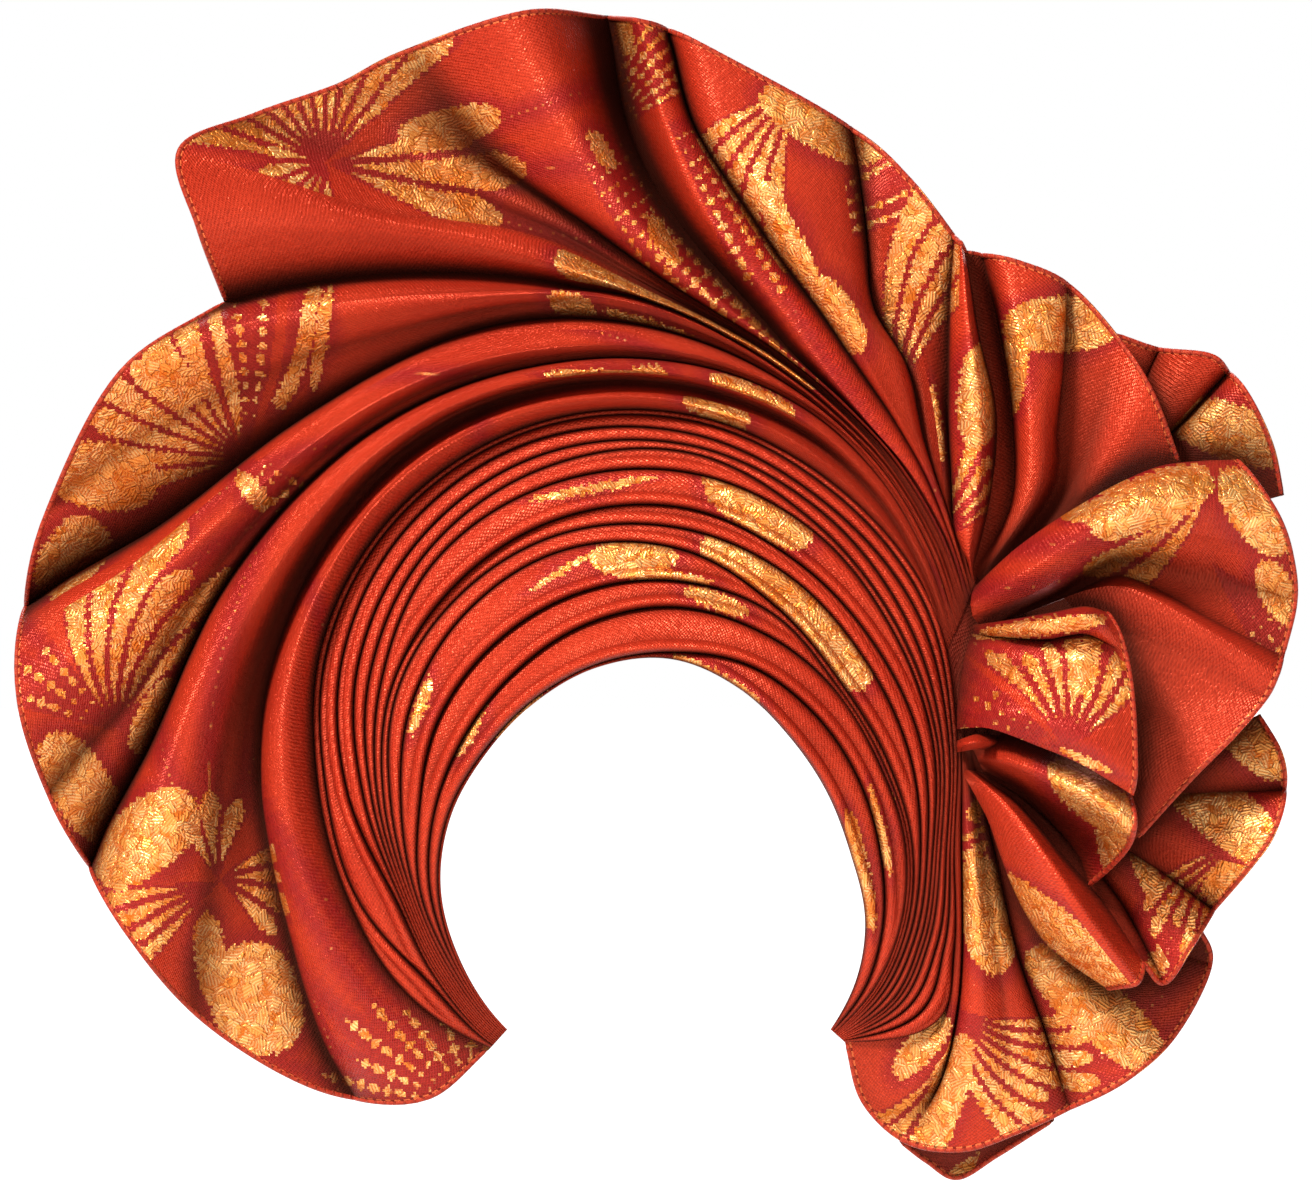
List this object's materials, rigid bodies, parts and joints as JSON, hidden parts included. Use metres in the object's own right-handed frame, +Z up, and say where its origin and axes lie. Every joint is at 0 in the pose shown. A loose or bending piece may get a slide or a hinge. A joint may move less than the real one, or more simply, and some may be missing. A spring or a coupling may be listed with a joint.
{
  "type": "tied gele head tie",
  "caption": "Wide satin brocade head tie worn tied: pleats round a head opening, a tall ruffled fan above and a gathered rosette with a tail at one side.",
  "frame": {"origin": "middle of the head opening, level with the foremost edge of its rim at the brow", "axes": "+X to the side of the rosette as the front shows it, +Y to the back of the head, +Z up"},
  "size_m": [0.5388, 0.1461, 0.4947],
  "materials": {
    "brocade": "brick red satin with woven gold leaf and fan motifs, crisp, softly glossy",
    "plain_satin": "the same red satin without gold, softly glossy"
  },
  "bodies": {
    "root": {"pleated_band": "brocade", "left_fan": "brocade", "crest_fan": "brocade", "crest_overlap": "brocade", "right_lobe": "brocade", "back_ruffle": "brocade", "top_loop": "brocade", "side_panel": "brocade", "centre_petal": "brocade", "lower_curl": "brocade", "knot_tuck": "brocade", "long_ruffle": "brocade", "outer_ruffle": "brocade", "tail_fan": "brocade", "tail_under": "brocade", "gather_pad": "plain_satin", "crown_wrap": "plain_satin"}
  },
  "joints": []
}
